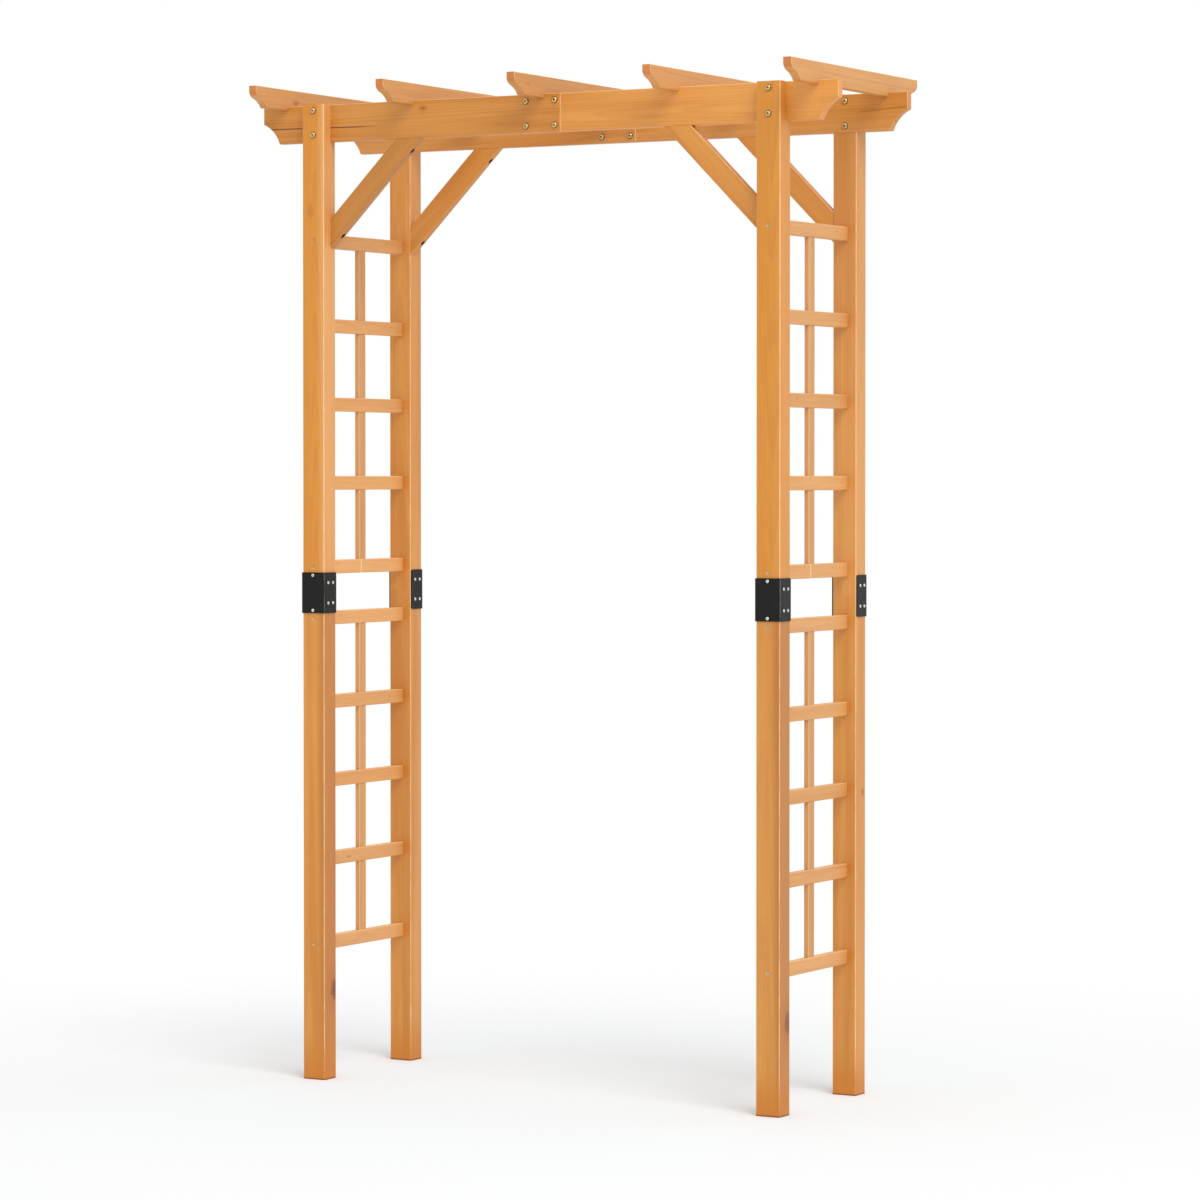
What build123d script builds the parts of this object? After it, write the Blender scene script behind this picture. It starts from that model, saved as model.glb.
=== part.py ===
from build123d import *
import os

# Garden arch of planed softwood: four posts, two beams, four braces, five rafters and two trellis sides.
# X runs along the beams, Y from front to rear, Z up; the origin is on the ground, midway between the posts.

# Posts: bars with eased edges, each in two halves that butt at mid-height
post_width = 51.0
post_depth = 43.0
post_half_height = 983.0
post_edge_radius = 2.5
post_span_x = 1029.0
post_span_y = 328.0

# Steel bracket round each post joint: a web on the outer face and two flanges on the sides
bracket_height = 82.0
bracket_steel = 2.0
bracket_bend_radius = 2.5
bracket_flange = 42.0
bracket_corner_radius = 4.0
web_screw_rise = 35.3
flange_screw_rise = 20.5
flange_screw_near = 11.5
flange_screw_far = 29.0

# Rungs: five to a panel, housed in the posts, and a step closer together in the middle of the panel
rung_height = 28.0
rung_thickness = 14.0
rung_edge_radius = 2.0
rung_tenon = 15.0
rung_first_rise = 51.5
rung_last_margin = 273.5
rung_pitch_step = 11.0
mortise_play = 0.2

# Slats: one upright to a panel, half-lapped into its rungs from the left, a little forward of the middle
slat_width = 25.0
slat_thickness = 10.0
slat_edge_radius = 1.0
slat_forward = 10.5
lap_play = 0.1

# Beams: two boards let into the posts, each spliced with a half-lap, with a cove at each lower corner
beam_length = 1300.0
beam_height = 75.0
beam_thickness = 18.0
beam_edge_radius = 1.5
beam_end_height = 34.0
cove_reach = 38.0
cove_depth = 6.0
splice_length = 92.0
splice_ease = 1.5

# Rafters: five boards across the beams, notched over them, with ogee ends
rafter_count = 5
rafter_margin = 50.0
rafter_length = 550.0
rafter_height = 42.0
rafter_thickness = 18.0
rafter_edge_radius = 1.5
rafter_notch = 8.0
rafter_notch_play = 0.3
rafter_tip_height = 13.0
nose_reach = 15.0
nose_drop = 12.0
nose_bulge = 2.5
tail_reach = 41.0
tail_hollow = 2.5

# Braces: bars at 45 degrees between post and beam, screwed through counterbores in the underside
brace_leg = 214.0
brace_width = 42.0
brace_thickness = 18.0
brace_edge_radius = 1.5
brace_screw_inset = 25.0
brace_screw_seat = 10.0
brace_counterbore = 8.0

# Bolts with sleeve nuts: two through each post and beam, four through each beam splice
bolt_diameter = 6.0
bolt_head_diameter = 12.0
bolt_head_height = 3.2
bolt_head_rim = 0.8
bolt_recess_span = 6.4
bolt_recess_slot = 1.5
bolt_recess_depth = 1.6
bolt_end_room = 4.0
sleeve_diameter = 8.0
bolt_spacing_z = 49.0
splice_bolt_spacing_x = 65.0

# Wood screws: pan heads on the brackets and braces, countersunk heads in the posts and rafters
pan_head_diameter = 7.0
pan_head_height = 2.2
pan_head_rim = 0.6
sunk_head_diameter = 8.0
sunk_head_depth = 2.2
screw_diameter = 3.6
screw_recess_span = 3.8
screw_recess_slot = 1.0
screw_recess_depth = 1.0
bracket_screw_length = 20.0
rung_screw_bite = 18.0
brace_screw_bite = 15.0
rafter_screw_bite = 30.0

# Room round each shank, and past its point
hole_play = 0.1
point_room = 0.5

# Heights and faces that follow from the sizes above
post_height = 2 * post_half_height
post_inner_y = (post_span_y - post_depth) / 2
post_outer_y = (post_span_y + post_depth) / 2
post_inner_x = (post_span_x - post_width) / 2
beam_top = post_height
beam_bottom = beam_top - beam_height
beam_middle_z = beam_top - beam_height / 2
beam_middle_y = post_inner_y + beam_thickness / 2
rafter_bottom = beam_top - rafter_notch
rafter_top = rafter_bottom + rafter_height
sleeve_length = beam_thickness - bolt_end_room
brace_foot = beam_bottom - brace_leg
bolt_heights = [beam_middle_z + side * bolt_spacing_z / 2 for side in (-1, 1)]
rung_last_rise = post_half_height - rung_last_margin
rung_middle_pitch = (rung_last_rise - rung_first_rise - 2 * rung_pitch_step) / 4
panel_middle_rise = (rung_first_rise + rung_last_rise) / 2
rung_rises = [
    rung_first_rise,
    panel_middle_rise - rung_middle_pitch,
    panel_middle_rise,
    panel_middle_rise + rung_middle_pitch,
    rung_last_rise,
]
end_rung_rises = [rung_rises[0], rung_rises[-1]]
rafter_pitch = (beam_length - 2 * rafter_margin) / (rafter_count - 1)
rafter_places = [rafter_margin - beam_length / 2 + rafter_pitch * number for number in range(rafter_count)]
reach = 2 * (beam_length + post_height + rafter_length)

SIDES_X = {"left": -1, "right": 1}
SIDES_Y = {"front": -1, "rear": 1}
LEVELS = {"lower": -1, "upper": 1}

LOW = (Align.CENTER, Align.CENTER, Align.MIN)
HIGH = (Align.CENTER, Align.CENTER, Align.MAX)


def block(x_range, y_range, z_range):
    """A box between two places on each axis."""
    ranges = (x_range, y_range, z_range)
    sizes = [high - low for low, high in ranges]
    middle = [(low + high) / 2 for low, high in ranges]
    return Pos(*middle) * Box(*sizes)


def span(start, end):
    """Two places in rising order."""
    return (min(start, end), max(start, end))


def aimed(shape, origin, direction):
    """A shape made along +Z from the origin, moved so that it runs from a place in a direction."""
    return Plane(origin=origin, z_dir=direction).location * shape


def rod(diameter, length):
    """A round bar from the origin along +Z, used for shanks and holes."""
    return Cylinder(diameter / 2, length, align=LOW)


# Fasteners, each with its head's seat at the origin and its shank along +Z


def cross_recess(recess_span, slot, depth):
    """The cross for a driver, sunk from the XY plane along +Z."""
    return Box(recess_span, slot, depth, align=LOW) + Box(slot, recess_span, depth, align=LOW)


def pan_head(diameter, height, rim, recess):
    """A domed head below the XY plane, with a cross in its crown."""
    rise = height - rim
    crown_radius = ((diameter / 2) ** 2 + rise**2) / (2 * rise)
    disc = Cylinder(diameter / 2, height, align=HIGH)
    dome = disc & Pos(0, 0, crown_radius - height) * Sphere(crown_radius)
    return dome - Pos(0, 0, -height) * recess


def screw_shank(length):
    """A shank with a point at its end."""
    point = screw_diameter
    body = rod(screw_diameter, length - point)
    return body + Pos(0, 0, length - point) * Cone(screw_diameter / 2, screw_diameter / 8, point, align=LOW)


def screw_recess():
    return cross_recess(screw_recess_span, screw_recess_slot, screw_recess_depth)


def pan_screw(length):
    return pan_head(pan_head_diameter, pan_head_height, pan_head_rim, screw_recess()) + screw_shank(length)


def sunk_screw(length):
    head = Cone(sunk_head_diameter / 2, screw_diameter / 2, sunk_head_depth, align=LOW)
    return head + screw_shank(length) - screw_recess()


def screw_hole(length):
    """Room for a screw's shank."""
    return rod(screw_diameter + 2 * hole_play, length + point_room)


def sunk_hole(length):
    """Room for a countersunk screw, head and shank."""
    top = sunk_head_diameter / 2 + hole_play
    return Cone(top, screw_diameter / 2 + hole_play, sunk_head_depth, align=LOW) + screw_hole(length)


def bolt_head():
    recess = cross_recess(bolt_recess_span, bolt_recess_slot, bolt_recess_depth)
    return pan_head(bolt_head_diameter, bolt_head_height, bolt_head_rim, recess)


def bolt(grip):
    """A bolt that stops short of the far side of what it holds."""
    return bolt_head() + rod(bolt_diameter, grip - bolt_end_room)


def sleeve_nut():
    """A nut with a long barrel that goes into the wood and takes the bolt."""
    floor = bolt_end_room - point_room
    bore = rod(bolt_diameter + 2 * hole_play, sleeve_length - floor)
    return bolt_head() + rod(sleeve_diameter, sleeve_length) - Pos(0, 0, floor) * bore


# Places of the fasteners: each is a seat and the direction of the shank


def bracket_screw_places(side_x, side_y, side_z):
    """The screws of one bracket that go into the half post above or below the joint."""
    post_x = side_x * post_span_x / 2
    outer_y = side_y * post_outer_y
    web_z = post_half_height + side_z * web_screw_rise
    flange_z = post_half_height + side_z * flange_screw_rise
    places = [((post_x, outer_y + side_y * bracket_steel, web_z), (0, -side_y, 0))]
    for face in (-1, 1):
        face_x = post_x + face * (post_width / 2 + bracket_steel)
        for inset in (flange_screw_near, flange_screw_far):
            places.append(((face_x, outer_y - side_y * inset, flange_z), (-face, 0, 0)))
    return places


def rung_screw_places(side_x, side_y, side_z):
    """The screws through one half post into the end rungs of its panel."""
    x = side_x * post_span_x / 2
    y = side_y * post_outer_y
    heights = [post_half_height + side_z * rise for rise in end_rung_rises]
    return [((x, y, height), (0, -side_y, 0)) for height in heights]


def post_bolt_places(side_x, side_y):
    x = side_x * post_span_x / 2
    return [((x, side_y * post_outer_y, height), (0, -side_y, 0)) for height in bolt_heights]


def post_nut_places(side_x, side_y):
    x = side_x * post_span_x / 2
    return [((x, side_y * post_inner_y, height), (0, side_y, 0)) for height in bolt_heights]


def splice_places(face_y, direction):
    """The four fasteners of one beam splice, seated on one face of the beam."""
    places = []
    for side in (-1, 1):
        for height in bolt_heights:
            places.append(((side * splice_bolt_spacing_x / 2, face_y, height), (0, direction, 0)))
    return places


def brace_post_screw(side_x, side_y):
    seat_x = side_x * (post_inner_x - brace_screw_seat)
    return ((seat_x, side_y * beam_middle_y, brace_foot + brace_screw_inset), (side_x, 0, 0))


def brace_beam_screw(side_x, side_y):
    x = side_x * (post_inner_x - brace_leg + brace_screw_inset)
    return ((x, side_y * beam_middle_y, beam_bottom - brace_screw_seat), (0, 0, 1))


def rafter_screw(x, side_y):
    return ((x, side_y * beam_middle_y, rafter_top), (0, 0, -1))


rung_screw_length = post_depth - rung_tenon + rung_screw_bite
brace_screw_length = brace_screw_seat + brace_screw_bite
rafter_screw_length = rafter_top - beam_top + rafter_screw_bite


def placed(shape, places):
    return [aimed(shape, origin, direction) for origin, direction in places]


# Wooden pieces and brackets


def half_post(side_x, side_y, side_z):
    """One half of a post, with its mortises and holes, and the beam's housing in an upper half."""
    x = side_x * post_span_x / 2
    base_z = post_half_height if side_z > 0 else 0
    section = RectangleRounded(post_width, post_depth, post_edge_radius)
    bar = Pos(x, side_y * post_span_y / 2, base_z) * extrude(section, amount=post_half_height)
    mortise = RectangleRounded(
        rung_thickness + 2 * mortise_play, rung_height + 2 * mortise_play, rung_edge_radius + mortise_play
    )
    slot = extrude(mortise, amount=rung_tenon + mortise_play)
    cuts = []
    for rise in rung_rises:
        foot = (x, side_y * post_inner_y, post_half_height + side_z * rise)
        cuts.append(Plane(origin=foot, x_dir=(1, 0, 0), z_dir=(0, side_y, 0)).location * slot)
    cuts += placed(screw_hole(bracket_screw_length), bracket_screw_places(side_x, side_y, side_z))
    cuts += placed(sunk_hole(rung_screw_length), rung_screw_places(side_x, side_y, side_z))
    if side_z > 0:
        housing_y = span(side_y * (post_inner_y - post_depth), side_y * (post_inner_y + beam_thickness))
        cuts.append(block((x - post_width, x + post_width), housing_y, (beam_bottom, beam_top + beam_height)))
        cuts += placed(rod(bolt_diameter + 2 * hole_play, post_depth), post_bolt_places(side_x, side_y))
        cuts += placed(screw_hole(brace_screw_length), [brace_post_screw(side_x, side_y)])
    return bar - cuts


def bracket(side_x, side_y):
    """A channel of bent steel round the post joint, open towards the rungs."""
    width = post_width + 2 * bracket_steel
    outer = RectangleRounded(width, 2 * (bracket_flange + bracket_steel), bracket_bend_radius)
    inner = RectangleRounded(post_width, 2 * bracket_flange, bracket_bend_radius - bracket_steel)
    open_half = Pos(0, width) * Rectangle(2 * width, 2 * width)
    channel = extrude(outer - inner - open_half, amount=bracket_height)
    free_corners = channel.edges().filter_by(Axis.X).group_by(Axis.Y)[-1]
    channel = fillet(free_corners, bracket_corner_radius)
    turn = 0 if side_y < 0 else 180
    open_y = side_y * (post_outer_y - bracket_flange)
    foot = Pos(side_x * post_span_x / 2, open_y, post_half_height - bracket_height / 2)
    holes = []
    for side_z in LEVELS.values():
        holes += placed(screw_hole(bracket_screw_length), bracket_screw_places(side_x, side_y, side_z))
    return foot * Rot(0, 0, turn) * channel - holes


def rung(side_x, side_z, rise):
    """One rung, with the half-lap for the slat and the pilot holes of an end rung."""
    x = side_x * post_span_x / 2
    z = post_half_height + side_z * rise
    length = 2 * (post_inner_y + rung_tenon)
    section = RectangleRounded(rung_thickness, rung_height, rung_edge_radius)
    bar = Pos(x, 0, z) * extrude(Plane.XZ * section, amount=length / 2, both=True)
    half_width = slat_width / 2 + lap_play
    lap_y = (-slat_forward - half_width, -slat_forward + half_width)
    cuts = [block((x - rung_thickness, x), lap_y, (z - rung_height, z + rung_height))]
    if rise in end_rung_rises:
        for side_y in SIDES_Y.values():
            cuts += placed(sunk_hole(rung_screw_length), rung_screw_places(side_x, side_y, side_z))
    return bar - cuts


def slat(side_x, side_z):
    """The upright of one panel, from the bottom of its lowest rung to the top of its highest."""
    x = side_x * post_span_x / 2
    ends = [post_half_height + side_z * rise for rise in end_rung_rises]
    low = min(ends) - rung_height / 2
    high = max(ends) + rung_height / 2
    section = RectangleRounded(slat_thickness, slat_width, slat_edge_radius)
    bar = Pos(x, -slat_forward, low) * extrude(section, amount=high - low)
    half_height = rung_height / 2 + lap_play
    lap_y = (-slat_forward - slat_width, -slat_forward + slat_width)
    cuts = []
    for rise in rung_rises:
        z = post_half_height + side_z * rise
        cuts.append(block((x, x + slat_thickness), lap_y, (z - half_height, z + half_height)))
    return bar - cuts


def beam_board(side_y):
    """A whole beam before it is cut in two, with its holes."""
    end = beam_length / 2
    cove_top = beam_top - beam_end_height
    foot = end - cove_reach
    outline = make_face(
        [
            Line((-end, beam_top), (end, beam_top)),
            Line((end, beam_top), (end, cove_top)),
            SagittaArc((end, cove_top), (foot, beam_bottom), -cove_depth),
            Line((foot, beam_bottom), (-foot, beam_bottom)),
            SagittaArc((-foot, beam_bottom), (-end, cove_top), -cove_depth),
            Line((-end, cove_top), (-end, beam_top)),
        ]
    )
    board = extrude(Plane.XZ * outline, amount=beam_thickness / 2, both=True)
    board = fillet(board.faces().filter_by(Axis.Y).edges(), beam_edge_radius)
    board = Pos(0, side_y * beam_middle_y, 0) * board
    sleeve_hole = rod(sleeve_diameter + 2 * hole_play, beam_thickness)
    cuts = placed(sleeve_hole, splice_places(side_y * post_inner_y, side_y))
    for side_x in SIDES_X.values():
        cuts += placed(sleeve_hole, post_nut_places(side_x, side_y))
        cuts += placed(screw_hole(brace_screw_length), [brace_beam_screw(side_x, side_y)])
    cuts += placed(screw_hole(rafter_screw_length), [rafter_screw(x, side_y) for x in rafter_places])
    return board - cuts


def beam_halves(side_y):
    """The left half, its tongue in front, and the right half, its tongue behind, eased at the seams."""
    tongue = splice_length / 2
    middle_y = side_y * beam_middle_y
    bar_side = splice_ease * 2**0.5
    easing_bar = Rot(0, 0, 45) * Box(bar_side, bar_side, 2 * beam_height)
    seams = [Pos(side * tongue, middle_y - side * beam_thickness / 2, beam_middle_z) for side in (-1, 1)]
    board = beam_board(side_y) - [seam * easing_bar for seam in seams]
    front = (middle_y - reach, middle_y)
    rear = (middle_y, middle_y + reach)
    heights = (-reach, reach)
    left = board - [block((-tongue, reach), rear, heights), block((tongue, reach), front, heights)]
    right = board - [block((-reach, tongue), front, heights), block((-reach, -tongue), rear, heights)]
    return {"left": left, "right": right}


def brace(side_x, side_y):
    """A bar at 45 degrees, cut to the post's side and the beam's underside."""
    section = RectangleRounded(brace_width, brace_thickness, brace_edge_radius)
    bar = extrude(section, amount=brace_leg, both=True)
    underside = (side_x * (post_inner_x - brace_leg / 2), side_y * beam_middle_y, beam_bottom - brace_leg / 2)
    bar = Pos(*underside) * Rot(0, side_x * -45, 0) * Pos(side_x * brace_width / 2, 0, 0) * bar
    corner_x = span(side_x * post_inner_x, side_x * (post_inner_x - 2 * brace_leg))
    bar = bar & block(corner_x, (-reach, reach), (beam_bottom - 2 * brace_leg, beam_bottom))
    cuts = []
    for origin, direction in (brace_post_screw(side_x, side_y), brace_beam_screw(side_x, side_y)):
        backward = tuple(-part for part in direction)
        cuts.append(aimed(screw_hole(brace_screw_length), origin, direction))
        cuts.append(aimed(rod(brace_counterbore, brace_leg), origin, backward))
    return bar - cuts


def rafter(x):
    """A board with ogee ends, notched over both beams and drilled for its screws."""
    end = rafter_length / 2
    tip_bottom = rafter_top - rafter_tip_height
    nose = (end - nose_reach, tip_bottom - nose_drop)
    tail = (end - tail_reach, rafter_bottom)
    outline = make_face(
        [
            Line((-end, rafter_top), (end, rafter_top)),
            Line((end, rafter_top), (end, tip_bottom)),
            SagittaArc((end, tip_bottom), nose, nose_bulge),
            SagittaArc(nose, tail, -tail_hollow),
            Line(tail, (-tail[0], tail[1])),
            SagittaArc((-tail[0], tail[1]), (-nose[0], nose[1]), -tail_hollow),
            SagittaArc((-nose[0], nose[1]), (-end, tip_bottom), nose_bulge),
            Line((-end, tip_bottom), (-end, rafter_top)),
        ]
    )
    board = extrude(Plane.YZ * outline, amount=rafter_thickness / 2, both=True)
    board = Pos(x, 0, 0) * fillet(board.faces().filter_by(Axis.X).edges(), rafter_edge_radius)
    half_notch = beam_thickness / 2 + rafter_notch_play
    cuts = []
    for side_y in SIDES_Y.values():
        middle = side_y * beam_middle_y
        notch_y = (middle - half_notch, middle + half_notch)
        cuts.append(block((x - reach, x + reach), notch_y, (rafter_bottom - rafter_height, beam_top)))
        cuts += placed(sunk_hole(rafter_screw_length), [rafter_screw(x, side_y)])
    return board - cuts


def build():
    """Every piece of the arch by its node's name; a list is a group of like fasteners."""
    nodes = {}
    groups = {
        "bracket_screws": [],
        "rung_screws": [],
        "brace_screws": [],
        "rafter_screws": [],
        "post_bolts": [],
        "post_sleeve_nuts": [],
        "splice_bolts": [],
        "splice_sleeve_nuts": [],
    }
    for row, side_y in SIDES_Y.items():
        for half, piece in beam_halves(side_y).items():
            nodes[f"{row}_beam_{half}"] = piece
        groups["splice_bolts"] += placed(
            bolt(beam_thickness), splice_places(side_y * (post_inner_y + beam_thickness), -side_y)
        )
        groups["splice_sleeve_nuts"] += placed(sleeve_nut(), splice_places(side_y * post_inner_y, side_y))
        for column, side_x in SIDES_X.items():
            corner = f"{row}_{column}"
            nodes[f"{corner}_bracket"] = bracket(side_x, side_y)
            nodes[f"{corner}_brace"] = brace(side_x, side_y)
            brace_places = [brace_post_screw(side_x, side_y), brace_beam_screw(side_x, side_y)]
            groups["brace_screws"] += placed(pan_screw(brace_screw_length), brace_places)
            groups["post_bolts"] += placed(bolt(post_depth), post_bolt_places(side_x, side_y))
            groups["post_sleeve_nuts"] += placed(sleeve_nut(), post_nut_places(side_x, side_y))
            for level, side_z in LEVELS.items():
                nodes[f"{corner}_post_{level}"] = half_post(side_x, side_y, side_z)
                bracket_places = bracket_screw_places(side_x, side_y, side_z)
                groups["bracket_screws"] += placed(pan_screw(bracket_screw_length), bracket_places)
                rung_places = rung_screw_places(side_x, side_y, side_z)
                groups["rung_screws"] += placed(sunk_screw(rung_screw_length), rung_places)
    for column, side_x in SIDES_X.items():
        for level, side_z in LEVELS.items():
            nodes[f"{column}_{level}_slat"] = slat(side_x, side_z)
            for number, rise in enumerate(rung_rises, start=1):
                nodes[f"{column}_{level}_rung_{number}"] = rung(side_x, side_z, rise)
    for number, x in enumerate(rafter_places, start=1):
        nodes[f"rafter_{number}"] = rafter(x)
        rafter_screw_spots = [rafter_screw(x, side_y) for side_y in SIDES_Y.values()]
        groups["rafter_screws"] += placed(sunk_screw(rafter_screw_length), rafter_screw_spots)
    for name, pieces in groups.items():
        nodes[name] = Compound(children=pieces)
    return nodes


os.makedirs("parts", exist_ok=True)
for name, shape in build().items():
    export_step(shape, f"parts/{name}.step")
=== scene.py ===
"""Dresses the garden arch: stained softwood, black brackets, zinc fasteners and a pale studio."""

import math
import random
from itertools import product

import bmesh
import bpy
from bpy.props import FloatProperty, FloatVectorProperty, PointerProperty
from mathutils import Euler, Matrix, Vector


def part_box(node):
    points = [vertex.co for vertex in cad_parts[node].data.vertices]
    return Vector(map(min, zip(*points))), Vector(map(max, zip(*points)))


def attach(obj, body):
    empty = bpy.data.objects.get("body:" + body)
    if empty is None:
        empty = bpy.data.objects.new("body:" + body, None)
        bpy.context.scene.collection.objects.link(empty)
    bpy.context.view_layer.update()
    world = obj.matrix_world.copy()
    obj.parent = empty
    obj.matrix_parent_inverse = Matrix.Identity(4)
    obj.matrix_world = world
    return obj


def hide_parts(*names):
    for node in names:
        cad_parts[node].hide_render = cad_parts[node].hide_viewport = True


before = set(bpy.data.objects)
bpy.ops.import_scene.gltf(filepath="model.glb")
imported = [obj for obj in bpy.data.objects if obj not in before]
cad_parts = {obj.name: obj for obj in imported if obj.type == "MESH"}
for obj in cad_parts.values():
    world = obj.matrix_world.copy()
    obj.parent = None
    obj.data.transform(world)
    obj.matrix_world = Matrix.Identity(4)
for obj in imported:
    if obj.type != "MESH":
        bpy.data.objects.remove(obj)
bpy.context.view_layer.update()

bl_info = {
    "name": "Garden arch",
    "version": (1, 0, 0),
    "blender": (4, 5, 0),
    "location": "3D View > Sidebar > Garden arch",
    "description": "Stains the boards, coats the brackets, makes the fasteners and sets up the studio",
    "category": "Object",
}

# The words and numbers in the names of the pieces, with the sign of each row's y and each side's x
ROWS = {"front": -1, "rear": 1}
SIDES = {"left": -1, "right": 1}
HALVES = ("lower", "upper")
RUNGS = range(1, 6)
RAFTERS = range(1, 6)

ALONG_X = Vector((1, 0, 0))
ALONG_Y = Vector((0, 1, 0))
ALONG_Z = Vector((0, 0, 1))
WHITE = (1, 1, 1, 1)


def colour_property(name, description, default):
    return FloatVectorProperty(
        name=name, description=description, subtype="COLOR", size=3, min=0, max=1, default=default
    )


def length_property(name, description, default):
    return FloatProperty(name=name, description=description, default=default, min=0, unit="LENGTH")


def share_property(name, description, default):
    return FloatProperty(
        name=name, description=description, subtype="FACTOR", min=0, max=1, default=default
    )


def angle_property(name, description, degrees):
    return FloatProperty(
        name=name, description=description, unit="ROTATION", default=math.radians(degrees)
    )


def place_property(name, description, default):
    return FloatVectorProperty(name=name, description=description, subtype="TRANSLATION", default=default)


class ArchWoodSettings(bpy.types.PropertyGroup):
    """Colours and grain of the stained boards"""

    light_stain: colour_property("Light stain", "Stain on the soft early wood", (0.74, 0.318, 0.059))
    warm_stain: colour_property("Warm stain", "Stain where a board took more of it", (0.615, 0.226, 0.028))
    rich_stain: colour_property("Rich stain", "Stain on boards that took it evenly", (0.705, 0.267, 0.02))
    late_wood: colour_property("Late wood", "The dark lines of the growth rings", (0.44, 0.125, 0.012))
    pale_wood: colour_property("Pale wood", "Boards that have taken little stain", (0.825, 0.445, 0.182))
    heart_wood: colour_property("Heartwood", "The redder side of a board", (0.5, 0.175, 0.028))
    knot: colour_property("Knots", "The heart of a knot", (0.13, 0.038, 0.011))
    # Painted shade: dark colour in the braces' bores and in a ring round each bolt head
    bore: colour_property("Bores", "Bores in the braces, and rings round the bolts", (0.03, 0.011, 0.004))
    # Edge lightening: rubbing, and a painted highlight where light catches the arris
    edge_wear_and_highlight: colour_property("Edge wear and highlight", "Stain rubbed thin along an arris", (0.96, 0.62, 0.28))
    end_grain: colour_property("End grain", "Sawn ends, which take the most stain", (0.62, 0.13, 0.018))
    # Painted light: the beams' end faces, turned to the light, are painted paler
    lit_end: colour_property("Lit ends", "Ends cut after the stain had soaked in", (0.74, 0.31, 0.135))
    foot_stain: colour_property("Foot stain", "Foot of a post, which soaked up more", (0.62, 0.195, 0.005))
    # Painted highlight: the light line across a top rung, at a slat's front edge
    slat_edge_highlight_width: length_property("Slat edge highlight width", "Half the width of the light line across a rung", 0.003)
    ring_spacing: length_property("Ring spacing", "Distance from one growth ring to the next", 0.0026)
    relief: length_property("Relief", "Height of the late wood over the early wood", 0.0003)
    gloss: share_property("Roughness", "Roughness of the satin stain on a plain face", 0.42)


class ArchMetalSettings(bpy.types.PropertyGroup):
    """Colours of the brackets and fasteners"""

    coat: colour_property("Bracket coat", "Black coat on the brackets", (0.006, 0.006, 0.0065))
    # Painted highlight along the brackets' bends, which also greys the dust
    coat_glint_and_dust: colour_property("Coat glint and dust", "The coat where it is rubbed", (0.3, 0.3, 0.295))
    gold: colour_property("Yellow zinc", "Main colour of the bolts", (0.82, 0.6, 0.27))
    blush: colour_property("Yellow zinc blush", "Pinker patches in the bolts' plating", (0.66, 0.43, 0.18))
    bright: colour_property("Bright zinc", "Main colour of the screws", (0.86, 0.84, 0.77))
    dull: colour_property("Dull zinc", "Duller patches on the screws", (0.68, 0.65, 0.57))
    tarnish: colour_property("Tarnished zinc", "Main colour of screws sunk in wood", (0.76, 0.6, 0.37))
    dirty: colour_property("Dirty zinc", "Patches on the screws sunk in the wood", (0.55, 0.38, 0.18))
    # Soiling and painted shade: darkens the driver recesses and the rims of the heads
    grime_and_shade: colour_property("Grime and shade", "Dirt in the driver recesses and under the heads", (0.05, 0.042, 0.032))


class ArchFastenerSettings(bpy.types.PropertyGroup):
    """Sizes of the bolts and screws"""

    bolt_head: length_property("Bolt head", "Diameter of a bolt's or sleeve nut's head", 0.012)
    bolt_height: length_property("Bolt head height", "Height of a bolt's head", 0.0032)
    bolt_shank: length_property("Bolt shank", "Diameter of a bolt's shank", 0.006)
    sleeve_shank: length_property("Sleeve", "Diameter of a sleeve nut's sleeve", 0.008)
    post_bolt: length_property("Post bolt", "Length of the shank of a bolt in a post", 0.039)
    short_bolt: length_property("Short bolt", "Length of the shanks of splice bolts and sleeve nuts", 0.014)
    pan_head: length_property("Pan head", "Diameter of a bracket screw's head", 0.007)
    pan_height: length_property("Pan head height", "Height of a bracket screw's head", 0.0017)
    sunk_head: length_property("Sunk head", "Diameter of a countersunk head", 0.008)
    sunk_depth: length_property("Sunk head depth", "Depth of a countersunk head", 0.0022)
    screw_shank: length_property("Screw shank", "Diameter of a screw's shank", 0.0036)
    bracket_screw: length_property("Bracket screw", "Length of a bracket screw's shank", 0.02)
    rung_screw: length_property("Rung screw", "Length of a rung screw", 0.046)
    web_rise: length_property("Web screw rise", "Height of a web screw from the post joint", 0.0353)
    flange_rise: length_property("Flange screw rise", "Height of a flange screw from the joint", 0.0205)
    flange_near: length_property("Near flange screw", "From the post's outer face to the screw", 0.0115)
    flange_far: length_property("Far flange screw", "From the post's outer face to the screw", 0.029)
    brace_inset: length_property("Brace screw inset", "From a brace's tip to its screw", 0.025)
    brace_bore: length_property("Brace bore", "Diameter of the bore over a brace's screw", 0.008)


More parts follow.
